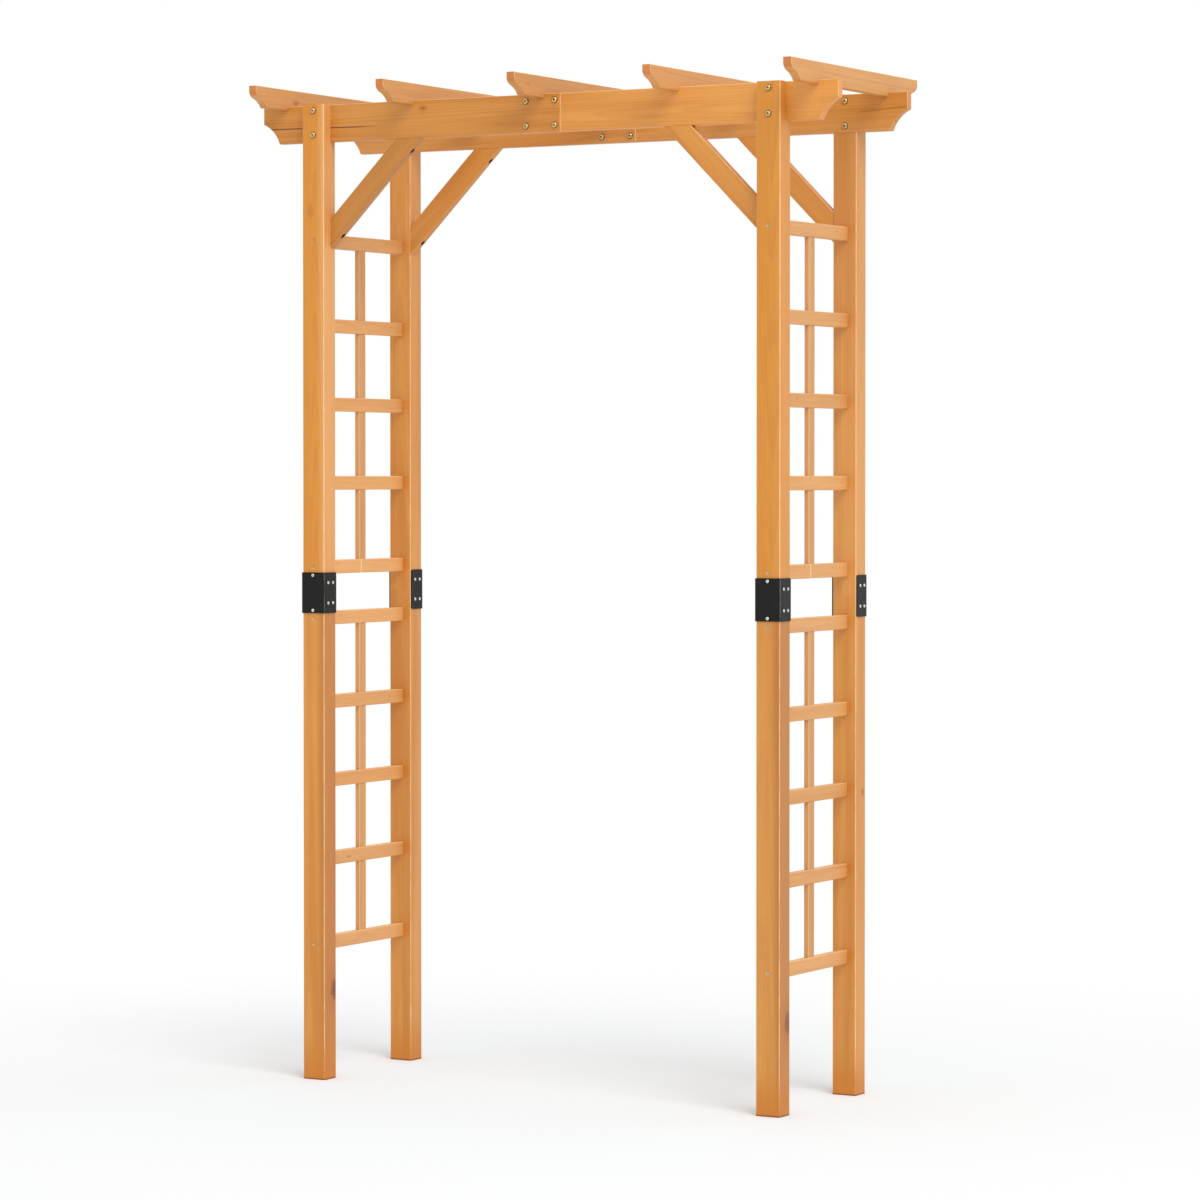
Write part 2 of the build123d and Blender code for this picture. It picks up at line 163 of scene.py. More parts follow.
class ArchStageSettings(bpy.types.PropertyGroup):
    """Floor, light and camera"""

    floor: colour_property("Floor", "Colour of the pale floor", (0.98, 0.993, 1.0))
    # Painted: the floor is bluer under the arch to cancel the warm bounce light from the wood
    floor_bounce_cancel: colour_property("Near floor", "Colour of the floor under the arch", (0.955, 0.987, 1.0))
    floor_size: length_property("Floor size", "Length of one side of the floor", 40.0)
    near_core: length_property("Near core", "How far the near colour is full", 0.5)
    near_reach: length_property("Near reach", "How far the near colour reaches", 1.4)
    white_middle: place_property("White middle", "Place round which the floor turns white", (0.6, -1.0, 0))
    white_start: length_property("White start", "Where the floor starts to turn white", 1.3)
    white_reach: length_property("White reach", "Where the floor is white", 3.3)
    sky: FloatProperty(name="Sky", description="Strength of the light from all round", default=0.68, min=0)
    key_power: FloatProperty(
        name="Key power", description="Power of the soft box", default=2330.0, unit="POWER"
    )
    key_size: length_property("Key size", "Width of the soft box", 14.1)
    key_distance: length_property("Key distance", "From the soft box to the arch", 22.0)
    key_aim: length_property("Key aim", "Height of the place that the soft box faces", 1.0)
    key_turn: angle_property("Key turn", "Turn of the soft box from the front", 53)
    key_rise: angle_property("Key rise", "Height angle of the soft box", 45)
    camera_place: place_property("Camera", "Place of the camera", (4.2038, -7.3636, 1.2134))
    camera_turn: angle_property("Camera turn", "Turn to the left of the front view", 29.463)
    camera_tilt: angle_property("Camera tilt", "Tilt downwards", 1.013)
    sensor: FloatProperty(name="Sensor", description="Width of the frame", default=36.0, unit="CAMERA")
    lens: FloatProperty(name="Lens", description="Focal length", default=127.608, unit="CAMERA")
    lens_drop: FloatProperty(name="Lens drop", description="Upright shift of the frame", default=-0.0386)


class GardenArchSettings(bpy.types.PropertyGroup):
    """All that a user may change"""

    wood: PointerProperty(type=ArchWoodSettings)
    metal: PointerProperty(type=ArchMetalSettings)
    fasteners: PointerProperty(type=ArchFastenerSettings)
    stage: PointerProperty(type=ArchStageSettings)


class NodeBench:
    """Adds shader nodes to a tree and joins them up."""

    def __init__(self, tree):
        self.tree = tree
        self.tree.nodes.clear()

    def feed(self, socket, value):
        if isinstance(value, bpy.types.NodeSocket):
            self.tree.links.new(value, socket)
        else:
            socket.default_value = value

    def add(self, kind, inputs=None, **choices):
        node = self.tree.nodes.new(kind)
        for name, choice in choices.items():
            setattr(node, name, choice)
        for name, value in (inputs or {}).items():
            self.feed(node.inputs[name], value)
        return node

    def math(self, operation, *values, clamp=False):
        node = self.add("ShaderNodeMath", operation=operation, use_clamp=clamp)
        for socket, value in zip(node.inputs, values):
            self.feed(socket, value)
        return node.outputs[0]

    def times(self, *values):
        """The product of two or more values."""
        product = values[0]
        for value in values[1:]:
            product = self.math("MULTIPLY", product, value)
        return product

    def away(self, value, middle):
        """How far a value is from a middle, on either side."""
        return self.math("ABSOLUTE", self.math("SUBTRACT", value, middle))

    def vector(self, operation, *values):
        node = self.add("ShaderNodeVectorMath", operation=operation)
        for socket, value in zip(node.inputs, values):
            self.feed(socket, value)
        return node.outputs["Value" if operation in ("LENGTH", "DOT_PRODUCT") else "Vector"]

    def drawn(self, place, share):
        """Shortens a place along the grain, which draws out what is painted there."""
        return self.vector("MULTIPLY", place, (1, 1, share))

    def split(self, vector):
        return self.add("ShaderNodeSeparateXYZ", {"Vector": vector}).outputs

    def fade(self, value, start, end):
        """Rises smoothly from 0 at start to 1 at end; start may be the larger."""
        inputs = {"Value": value, "From Min": start, "From Max": end}
        return self.add("ShaderNodeMapRange", inputs, interpolation_type="SMOOTHSTEP").outputs["Result"]

    def scale(self, value, low, high):
        """Carries a value between 0 and 1 to the range from low to high."""
        inputs = {"Value": value, "To Min": low, "To Max": high}
        return self.add("ShaderNodeMapRange", inputs).outputs["Result"]

    def noise(self, place, size, detail=2.0, seed=0.0, roughness=0.5):
        """Noise whose patches are about as wide as size, in metres."""
        inputs = {
            "Vector": place,
            "W": seed,
            "Scale": 1 / size,
            "Detail": detail,
            "Roughness": roughness,
        }
        return self.add("ShaderNodeTexNoise", inputs, noise_dimensions="4D").outputs["Fac"]

    def blend(self, factor, first, second):
        node = self.add("ShaderNodeMix", data_type="RGBA", blend_type="MIX")
        for index, value in ((0, factor), (6, first), (7, second)):
            self.feed(node.inputs[index], value)
        return node.outputs[2]

    def wash(self, base, tint, *shares):
        """Lays one of the set colours over a base, by the product of the shares."""
        return self.blend(self.times(*shares), base, opaque(tint))

    def bump(self, height, distance, strength):
        inputs = {"Height": height, "Distance": distance, "Strength": strength}
        return self.add("ShaderNodeBump", inputs).outputs["Normal"]

    def surface(self, inputs):
        shader = self.add("ShaderNodeBsdfPrincipled", inputs)
        self.add("ShaderNodeOutputMaterial", {"Surface": shader.outputs["BSDF"]})


def opaque(colour):
    return (*colour, 1.0)


def settings():
    return bpy.context.scene.garden_arch


def new_material(name):
    """A material without nodes yet, and the bench that adds them."""
    material = bpy.data.materials.new(name)
    material.use_nodes = True
    return material, NodeBench(material.node_tree)


def dress(name, material):
    """Puts one material on a whole node of the frame."""
    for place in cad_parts[name].material_slots:
        place.material = material


def middle_of(name):
    """The middle of a node's box."""
    low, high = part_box(name)
    return (low + high) / 2


def outer_y(name):
    """Where a node's outer face lies, in front of the arch or behind it."""
    low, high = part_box(name)
    return max(low.y, high.y, key=abs)


# What a board tells the softwood group: its places and directions, then its numbers
BOARD_VECTORS = ("Board", "Facing", "Under", "Pith", "Knot", "Streak Start", "Streak End")
BOARD_NUMBERS = (
    "Knot Radius",
    "Knot Strength",
    "Streak Width",
    "Streak Strength",
    "Streak Dark",
    "Half Width",
    "Heart",
    "Sap",
    "Rich",
    "Figure",
    "Pale",
    "Lit Ends",
    "Edge Lightening",
    "Foot",
    "Foot Strength",
    "Tone",
    "Seed",
)

# Radians: of the wave texture in one metre at a scale of 1, of the rings' bend at a knot, and of a
# knot's own rings in one knot radius
WAVE_TURN = 20
KNOT_BEND = -11.0
KNOT_TURN = 22.0

# How strongly each mark covers the stain; the last two are painted shade round the bolt heads and in the
# braces' bores
FIBRE_SHARE = 0.22
FLECK_SHARE = 0.35
HALO_SHARE = 0.45
KNOT_SHARE = 0.95
KNOT_RIM_SHARE = 0.25
BOLT_SHADE_SHARE = 0.7
BORE_SHADE_SHARE = 1.0

# How far a ring of painted shade reaches, in radii of the bolt head or the bore, and how far past that it
# fades
BOLT_SHADE_REACH = 1.08
BORE_SHADE_REACH = 1.04
SHADE_RING_FADE = 1.12


def open_sockets(tree):
    """Names what goes into the softwood group and what comes out of it."""
    for name in BOARD_VECTORS:
        tree.interface.new_socket(name, in_out="INPUT", socket_type="NodeSocketVector")
    for name in BOARD_NUMBERS:
        tree.interface.new_socket(name, in_out="INPUT", socket_type="NodeSocketFloat")
    tree.interface.new_socket("Colour", in_out="OUTPUT", socket_type="NodeSocketColor")
    tree.interface.new_socket("Roughness", in_out="OUTPUT", socket_type="NodeSocketFloat")
    tree.interface.new_socket("Height", in_out="OUTPUT", socket_type="NodeSocketFloat")


def knot_shares(bench, given):
    """The distance from the knot in knot radii, and the shares of its heart, rim and halo."""
    wander = bench.noise(given["Board"], size=0.012, detail=2, seed=given["Seed"])
    way = bench.drawn(bench.vector("SUBTRACT", given["Board"], given["Knot"]), 0.6)
    radii = bench.math("DIVIDE", bench.vector("LENGTH", way), given["Knot Radius"])
    radii = bench.math("ADD", radii, bench.scale(wander, -0.35, 0.35))
    heart = bench.times(bench.fade(radii, 1.2, 0.5), given["Knot Strength"])
    rim = bench.times(bench.fade(bench.away(radii, 0.95), 0.3, 0), given["Knot Strength"])
    halo = bench.fade(radii, 3.4, 0.9)
    return radii, heart, rim, halo


def late_wood_share(bench, given, knot_halo):
    """The share of late wood: rings round the pith, which bend round the knot."""
    place = bench.drawn(bench.vector("ADD", given["Board"], given["Pith"]), 0.035)
    inputs = {
        "Vector": place,
        "Scale": math.tau / WAVE_TURN / settings().wood.ring_spacing,
        "Distortion": 9.0,
        "Detail": 3.0,
        "Detail Scale": 0.22,
        "Detail Roughness": 0.55,
        "Phase Offset": bench.times(knot_halo, KNOT_BEND),
    }
    choices = {"wave_type": "RINGS", "rings_direction": "Z", "wave_profile": "SAW"}
    ring = bench.add("ShaderNodeTexWave", inputs, **choices).outputs["Fac"]
    change = bench.noise(place, size=0.016, detail=2, seed=given["Seed"])
    line = bench.times(bench.fade(ring, 0.3, 0.9), bench.fade(ring, 1.0, 0.93))
    return bench.times(line, bench.scale(change, 0.1, 1.0))


def streak_share(bench, given):
    """The share of a dark streak, which wanders from its start to its end and thins out there."""
    place = bench.split(given["Board"])
    start = bench.split(given["Streak Start"])
    stop = bench.split(given["Streak End"])
    along = bench.vector("MULTIPLY", given["Board"], ALONG_Z)
    drift = bench.noise(along, size=0.25, detail=3, seed=given["Seed"])
    gone = bench.math("SUBTRACT", place["Z"], start["Z"])
    gone = bench.math("DIVIDE", gone, bench.math("SUBTRACT", stop["Z"], start["Z"]))
    line = bench.math("MULTIPLY_ADD", gone, bench.math("SUBTRACT", stop["X"], start["X"]), start["X"])
    line = bench.math("ADD", line, bench.scale(drift, -0.002, 0.002))
    widths = bench.math("DIVIDE", bench.away(place["X"], line), given["Streak Width"])
    length = bench.times(bench.fade(gone, -0.04, 0.04), bench.fade(gone, 1.0, 0.75))
    return bench.times(bench.fade(widths, 1.0, 0.15), length, given["Streak Strength"])


def arris_wear_and_highlight(bench, given):
    """The share of lightening on the arrises, from rubbing and from a painted highlight, apart from those
    that face down.
    """
    flat = bench.math("ABSOLUTE", bench.split(given["Facing"])["Y"])
    slope = bench.math("SQRT", bench.math("SUBTRACT", 1.0, bench.times(flat, flat), clamp=True))
    arris = bench.fade(bench.times(flat, slope), 0.15, 0.5)
    patchiness = bench.fade(bench.noise(given["Board"], size=0.03, detail=3, seed=given["Seed"]), 0.3, 0.7)
    open_side = bench.fade(bench.vector("DOT_PRODUCT", given["Facing"], given["Under"]), 0.5, 0.1)
    rubbed = bench.times(arris, bench.scale(patchiness, 0.45, 0.85), open_side)
    return bench.math("MULTIPLY", rubbed, given["Edge Lightening"], clamp=True)


def grain_colour(bench, given, late, fibre):
    """The stain and the grain of a board, before its marks and wear."""
    wood = settings().wood
    board = given["Board"]
    seed = given["Seed"]
    band = bench.noise(bench.drawn(board, 0.05), size=0.028, detail=2, seed=seed)
    patch = bench.noise(bench.drawn(board, 0.3), size=0.14, detail=1, seed=seed)
    ribbon = bench.noise(bench.drawn(board, 0.02), size=0.006, detail=3, seed=seed, roughness=0.6)
    fleck = bench.noise(bench.drawn(board, 0.2), size=0.0016, detail=1, seed=seed)
    stain = bench.fade(bench.math("ADD", band, bench.scale(patch, -0.3, 0.3)), 0.3, 0.75)
    colour = bench.wash(opaque(wood.light_stain), wood.warm_stain, stain)
    colour = bench.wash(colour, wood.rich_stain, given["Rich"])
    colour = bench.wash(colour, wood.pale_wood, given["Pale"])
    side = bench.fade(bench.math("DIVIDE", bench.split(board)["X"], given["Half Width"]), 0.2, 1.0)
    colour = bench.wash(colour, wood.heart_wood, side, given["Heart"])
    colour = bench.wash(colour, wood.pale_wood, side, given["Sap"])
    colour = bench.wash(colour, wood.warm_stain, bench.fade(ribbon, 0.45, 0.7), given["Figure"])
    colour = bench.wash(colour, wood.late_wood, late, given["Figure"])
    colour = bench.wash(colour, wood.late_wood, bench.fade(fibre, 0.42, 0.75), FIBRE_SHARE)
    return bench.wash(colour, wood.late_wood, bench.fade(fleck, 0.68, 0.8), FLECK_SHARE)


def add_knot(bench, colour, radii, heart, rim, halo):
    """Adds a knot to a board's colour: its halo, its heart with its own rings, and its rim."""
    wood = settings().wood
    colour = bench.wash(colour, wood.late_wood, halo, HALO_SHARE)
    rings = bench.fade(bench.math("SINE", bench.times(radii, KNOT_TURN)), -0.2, 1.4)
    heart_colour = bench.wash(opaque(wood.knot), wood.late_wood, rings)
    colour = bench.blend(bench.times(heart, KNOT_SHARE), colour, heart_colour)
    return bench.wash(colour, wood.knot, rim, KNOT_RIM_SHARE)


def add_ends(bench, given, colour, end):
    """Adds the sawn ends of a board, with painted light on the beams' lit end faces, and the darker foot of
    a post with a dark line along its bottom edge.
    """
    wood = settings().wood
    # Painted light: paler colour on the beams' lit end faces
    end_colour = bench.wash(opaque(wood.end_grain), wood.lit_end, given["Lit Ends"])
    end_share = bench.times(end, bench.scale(given["Lit Ends"], 0.5, 0.7))
    colour = bench.blend(end_share, colour, end_colour)
    rise = bench.math("SUBTRACT", bench.split(given["Board"])["Z"], given["Foot"])
    colour = bench.wash(colour, wood.foot_stain, bench.fade(rise, 0.1, 0.01), given["Foot Strength"])
    # A dark line along the bottom few millimetres of a post
    return bench.wash(colour, wood.knot, bench.fade(rise, 0.004, 0.0015), given["Foot Strength"])


def softwood():
    """The node group that every board shares: rings, fibres, a knot, end grain with painted light on the
    beams' lit ends, and arrises lightened by rubbing and a painted highlight.
    """
    made = bpy.data.node_groups.get("stained_softwood")
    if made:
        return made
    wood = settings().wood
    tree = bpy.data.node_groups.new("stained_softwood", "ShaderNodeTree")
    open_sockets(tree)
    bench = NodeBench(tree)
    given = bench.add("NodeGroupInput").outputs

    radii, heart, rim, halo = knot_shares(bench, given)
    late = late_wood_share(bench, given, halo)
    fibre_place = bench.drawn(given["Board"], 0.012)
    fibre = bench.noise(fibre_place, size=0.0016, detail=4, seed=given["Seed"], roughness=0.6)
    end = bench.fade(bench.math("ABSOLUTE", bench.split(given["Facing"])["Z"]), 0.55, 0.95)

    colour = grain_colour(bench, given, late, fibre)
    streak_colour = bench.wash(opaque(wood.late_wood), wood.knot, given["Streak Dark"])
    colour = bench.blend(streak_share(bench, given), colour, streak_colour)
    colour = add_knot(bench, colour, radii, heart, rim, halo)
    # Lightens the arrises by rubbing and with a painted highlight
    colour = bench.wash(colour, wood.edge_wear_and_highlight, arris_wear_and_highlight(bench, given))
    colour = add_ends(bench, given, colour, end)
    toned_inputs = {"Vector": colour, "Scale": given["Tone"]}
    toned = bench.add("ShaderNodeVectorMath", toned_inputs, operation="SCALE").outputs["Vector"]

    satin = bench.scale(fibre, wood.gloss - 0.08, wood.gloss + 0.1)
    rough = bench.math("ADD", satin, bench.times(end, 0.25))
    height = bench.math("ADD", bench.times(late, 0.6), bench.times(fibre, -0.4))
    height = bench.math("SUBTRACT", height, bench.times(rim, 0.6))
    bench.add("NodeGroupOutput", {"Colour": toned, "Roughness": rough, "Height": height})
    return tree


def board_frame(grain, thickness):
    """Turns board axes, X across, Y through the thickness and Z along the grain, to the arch's axes."""
    across = thickness.cross(grain)
    return Matrix((across, thickness, grain)).transposed()


def chance_knot(chance, half):
    """The place and radius of a small knot, somewhere on a wide or a narrow face of a board."""
    wide_face = Vector((chance.uniform(-0.6, 0.6) * half.x, chance.choice((-1, 1)) * half.y, 0))
    narrow_face = Vector((chance.choice((-1, 1)) * half.x, chance.uniform(-0.6, 0.6) * half.y, 0))
    place = chance.choice((wide_face, narrow_face)) + ALONG_Z * chance.uniform(-0.9, 0.9) * half.z
    radius = chance.uniform(0.12, 0.22) * min(half.x, half.y)
    return place, radius


def add_shade_rings(bench, colour, place, rings):
    """Adds the painted shade round the bolt heads and in the bores of a board."""
    for middle, axis, reach, strength in rings:
        way = bench.vector("SUBTRACT", place, middle)
        way = bench.vector("MULTIPLY", way, Vector((1, 1, 1)) - axis)
        inside = bench.fade(bench.vector("LENGTH", way), reach * SHADE_RING_FADE, reach)
        colour = bench.wash(colour, settings().wood.bore, inside, strength)
    return colour


def add_slat_edge_highlight(bench, colour, place, grain, slat_edge_highlight):
    """Adds a painted highlight: a light line across the grain, where a slat's front edge catches the light.
    """
    wood = settings().wood
    way = bench.away(bench.vector("DOT_PRODUCT", place, grain), slat_edge_highlight)
    return bench.wash(colour, wood.edge_wear_and_highlight, bench.fade(way, wood.slat_edge_highlight_width, 0.0))


def stain_board(
    name,
    grain,
    thickness,
    pith_depth,
    figure,
    tone=1.0,
    pale=0.0,
    lit_ends=0.0,
    rich=0.0,
    heart=0.0,
    sap=0.0,
    edge_lightening=1.0,
    knot=None,
    knot_strength=0.9,
    streak=None,
    foot=0.0,
    rings=(),
    slat_edge_highlight=None,
):
    """Gives one board its own cut of the stained softwood, with its own knot and grain.

    A knot is its place, radius and strength. A streak is its start, end, width, strength and darkness.
    A ring is painted shade: its middle, axis, reach and strength. A slat edge highlight is a painted light
    line, given by its place along the grain.
    """
    wood = settings().wood
    chance = random.Random(name)
    low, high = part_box(name)
    centre = (low + high) / 2
    turn = board_frame(grain, thickness)
    to_board = turn.transposed()
    corners = [to_board @ (vert.co - centre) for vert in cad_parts[name].data.vertices]
    half = Vector([max(abs(corner[axis]) for corner in corners) for axis in range(3)])
    lean = Euler((math.radians(chance.uniform(-0.9, 0.9)), math.radians(chance.uniform(-0.5, 0.5)), 0))
    pith_side = chance.choice((-1, 1))
    pith_across = chance.uniform(-0.7, 0.7) * half.x
    pith_away = pith_side * pith_depth * chance.uniform(0.7, 1.4)
    if knot is None:
        knot_place, knot_radius = chance_knot(chance, half)
    else:
        place, knot_radius, knot_strength = knot
        knot_place = to_board @ (Vector(place) - centre)
    no_streak = (low, high, 0.001, 0.0, 0.0)
    start, end, streak_width, streak_strength, streak_dark = streak or no_streak

    material, bench = new_material("stained_" + name)
    read = bench.add("ShaderNodeTexCoord").outputs
    board_turn = (turn @ lean.to_matrix()).to_euler()
    board_inputs = {"Vector": read["Object"], "Location": centre, "Rotation": board_turn}
    facing_inputs = {"Vector": read["Normal"], "Rotation": turn.to_euler()}
    cut_inputs = {
        "Board": bench.add("ShaderNodeMapping", board_inputs, vector_type="TEXTURE").outputs["Vector"],
        "Facing": bench.add("ShaderNodeMapping", facing_inputs, vector_type="TEXTURE").outputs["Vector"],
        "Under": to_board @ -ALONG_Z,
        "Pith": (pith_across, pith_away, 0),
        "Knot": knot_place,
        "Knot Radius": knot_radius,
        "Knot Strength": knot_strength,
        "Streak Start": to_board @ (Vector(start) - centre),
        "Streak End": to_board @ (Vector(end) - centre),
        "Streak Width": streak_width,
        "Streak Strength": streak_strength,
        "Streak Dark": streak_dark,
        "Half Width": half.x,
        "Heart": heart,
        "Sap": sap,
        "Rich": rich,
        "Figure": figure,
        "Pale": pale,
        "Lit Ends": lit_ends,
        "Edge Lightening": edge_lightening,
        "Foot": -half.z,
        "Foot Strength": foot,
        "Tone": tone * chance.uniform(0.95, 1.05),
        "Seed": chance.uniform(0, 100),
    }
    cut = bench.add("ShaderNodeGroup", cut_inputs, node_tree=softwood()).outputs
    colour = add_shade_rings(bench, cut["Colour"], read["Object"], rings)
    if slat_edge_highlight is not None:
        colour = add_slat_edge_highlight(bench, colour, read["Object"], grain, slat_edge_highlight)
    bench.surface(
        {
            "Base Color": colour,
            "Roughness": cut["Roughness"],
            "Normal": bench.bump(cut["Height"], distance=wood.relief, strength=0.6),
        }
    )
    dress(name, material)


def black_coat():
    """Black powder coat: a fine orange peel, a little dust, and a grey painted highlight along the bends.
    """
    metal = settings().metal
    material, bench = new_material("black_coat")
    read = bench.add("ShaderNodeTexCoord").outputs
    peel = bench.noise(read["Object"], size=0.0012, detail=2)
    dust = bench.noise(read["Object"], size=0.02, detail=4)
    x, y, z = bench.split(bench.vector("ABSOLUTE", read["Normal"]))
    # Painted highlight: a grey band along each bend, in patches; a little dust is added below
    bend = bench.math("SUBTRACT", 1.0, bench.math("MAXIMUM", x, bench.math("MAXIMUM", y, z)))
    patchiness = bench.scale(bench.fade(dust, 0.35, 0.65), 0.3, 1.0)
    bend_glint_and_dust = bench.times(bench.fade(bend, 0.14, 0.27), patchiness)
    bend_glint_and_dust = bench.math("MAXIMUM", bend_glint_and_dust, bench.times(bench.fade(dust, 0.55, 0.8), 0.03))
    bench.surface(
        {
            "Base Color": bench.wash(opaque(metal.coat), metal.coat_glint_and_dust, bend_glint_and_dust),
            "Roughness": bench.scale(dust, 0.34, 0.56),
            "Normal": bench.bump(peel, distance=0.0001, strength=0.5),
            "Specular IOR Level": 0.2,
        }
    )
    return material


def zinc_plate(name, main, other):
    """Zinc plating: two tones in patches, a fine grit, and soiling with painted shade in the driver recess
    and round the rim of the head.
    """
    metal = settings().metal
    material, bench = new_material(name)
    place = bench.add("ShaderNodeTexCoord").outputs["Object"]
    patch = bench.noise(place, size=0.004, detail=3)
    grit = bench.noise(place, size=0.0004, detail=3)
    grime_and_shade = bench.add("ShaderNodeAttribute", attribute_name="grime_and_shade").outputs["Fac"]
    colour = bench.wash(opaque(main), other, bench.fade(patch, 0.35, 0.7))
    bench.surface(
        {
            "Base Color": bench.wash(colour, metal.grime_and_shade, grime_and_shade, 0.7),
            "Roughness": bench.math("ADD", bench.scale(grit, 0.13, 0.25), bench.times(grime_and_shade, 0.3)),
            "Normal": bench.bump(grit, distance=0.00004, strength=0.5),
            "Metallic": 1.0,
        }
    )
    return material


# A fastener's spin and weld, the taper and easing of its driver recess, and its sharpest smooth edge
SPIN_STEPS = 32
WELD_DISTANCE = 1e-6
RECESS_TAPER = 0.72
RECESS_EASING = 0.08
SMOOTH_ANGLE = math.radians(35)

# Points of a domed head, from the crown out: share of the radius, and darkening, painted shade that deepens
# towards the rim where the head meets the wood
DOME_POINTS = ((0.62, 0), (0.72, 0), (0.81, 0.15), (0.88, 0.55), (0.94, 1), (0.98, 1), (1, 1))
DOME_ROUNDNESS = 2.6

# Points of a countersunk head, from the crown out: share of the radius, height, and darkening, painted
# shade on the outer ring round the head
SUNK_POINTS = ((0.58, -0.0002, 0.0), (0.66, -0.0002, 0.2), (0.8, -0.00025, 1.0), (0.93, -0.0005, 1.0))


def cross_points(span, slot):
    """The corners of a driver's cross, in order."""
    wing = span / 2
    side = slot / 2
    quarter = ((wing, -side), (wing, side), (side, side))
    corners = []
    for turn in range(4):
        rotation = Matrix.Rotation(turn * math.pi / 2, 2)
        corners += [rotation @ Vector(point) for point in quarter]
    return corners


def spin_profile(shape, grime_and_shade, profile):
    """Spins half an outline round the Z axis and leaves the crown open."""
    verts = []
    for radius, height, darkening in profile:
        vert = shape.verts.new((radius, 0, height))
        vert[grime_and_shade] = darkening
        verts.append(vert)
    edges = [shape.edges.new(pair) for pair in zip(verts, verts[1:])]
    bmesh.ops.spin(
        shape,
        geom=verts + edges,
        cent=(0, 0, 0),
        axis=(0, 0, 1),
        angle=math.tau,
        steps=SPIN_STEPS,
        use_merge=True,
    )
    bmesh.ops.remove_doubles(shape, verts=shape.verts[:], dist=WELD_DISTANCE)


def sink_cross(shape, grime_and_shade, crown_height, span, slot, depth):
    """Fills the open crown round a driver's cross, and sinks the cross with tapered walls."""
    crown = [edge for edge in shape.edges if edge.is_boundary]
    corners = [shape.verts.new((*point, crown_height)) for point in cross_points(span, slot)]
    cross = [shape.edges.new(pair) for pair in zip(corners, corners[1:] + corners[:1])]
    bmesh.ops.triangle_fill(shape, use_beauty=True, edges=crown + cross, normal=(0, 0, 1))
    sunk = bmesh.ops.extrude_edge_only(shape, edges=cross)["geom"]
    floor = [item for item in sunk if isinstance(item, bmesh.types.BMVert)]
    bmesh.ops.scale(shape, vec=(RECESS_TAPER, RECESS_TAPER, 1), verts=floor)
    bmesh.ops.translate(shape, vec=(0, 0, -depth), verts=floor)
    rim = [edge for edge in shape.edges if edge.is_boundary]
    bmesh.ops.contextual_create(shape, geom=rim)
    # Soiling and painted shade fill the floor of the recess
    for vert in floor:
        vert[grime_and_shade] = 1.0
    bmesh.ops.bevel(
        shape,
        geom=cross,
        offset=slot * RECESS_EASING,
        offset_type="OFFSET",
        segments=2,
        profile=0.5,
        affect="EDGES",
        material=-1,
    )


def cross_fastener(profile, span, slot, depth):
    """A fastener on the Z axis: the profile is spun round, and a tapered cross is sunk in its crown.

    The third number of a point of the profile says how dark it is painted there, for soiling and painted
    shade.
    """
    shape = bmesh.new()
    grime_and_shade = shape.verts.layers.float.new("grime_and_shade")
    spin_profile(shape, grime_and_shade, profile)
    sink_cross(shape, grime_and_shade, profile[0][1], span, slot, depth)
    bmesh.ops.recalc_face_normals(shape, faces=shape.faces[:])
    for face in shape.faces:
        face.smooth = True
    for edge in shape.edges:
        edge.smooth = edge.calc_face_angle(0) < SMOOTH_ANGLE
    mesh = bpy.data.meshes.new("fastener")
    shape.to_mesh(mesh)
    shape.free()
    return mesh


def domed_profile(diameter, height, shank, length):
    """Half the outline of a domed head and its shank, from the crown to the point."""
    radius = diameter / 2
    crown = DOME_POINTS[0][0]
    dome = []
    for share, darkening in DOME_POINTS:
        drop = (1 - share**DOME_ROUNDNESS) / (1 - crown**DOME_ROUNDNESS)
        dome.append((radius * share, height * math.sqrt(drop), darkening))
    return dome + [(shank / 2, 0, 1.0), (shank / 2, -length + shank, 0.0), (0, -length, 0.0)]


def sunk_profile(diameter, depth, shank, length):
    """Half the outline of a countersunk head and its shank, sunk a hair below zero."""
    radius = diameter / 2
    head = [(radius * share, height, darkening) for share, height, darkening in SUNK_POINTS]
    return head + [(shank / 2, -depth, 1.0), (shank / 2, -length + shank, 0.0), (0, -length, 0.0)]


def domed_bolt(shank, length):
    """A bolt or a sleeve nut with a shank of one diameter and length."""
    sizes = settings().fasteners
    profile = domed_profile(sizes.bolt_head, sizes.bolt_height, shank, length)
    span = sizes.bolt_head * 0.58
    slot = sizes.bolt_head * 0.17
    return cross_fastener(profile, span, slot, depth=sizes.bolt_height * 0.55)


def pan_screw(length):
    """A screw with a pan head and a shank of one length."""
    sizes = settings().fasteners
    profile = domed_profile(sizes.pan_head, sizes.pan_height, sizes.screw_shank, length)
    span = sizes.pan_head * 0.54
    slot = sizes.pan_head * 0.11
    return cross_fastener(profile, span, slot, depth=sizes.pan_height * 0.4)


def sunk_screw(length):
    """A countersunk screw of one length."""
    sizes = settings().fasteners
    profile = sunk_profile(sizes.sunk_head, sizes.sunk_depth, sizes.screw_shank, length)
    span = sizes.sunk_head * 0.42
    slot = sizes.sunk_head * 0.1
    return cross_fastener(profile, span, slot, depth=sizes.sunk_depth * 0.4)


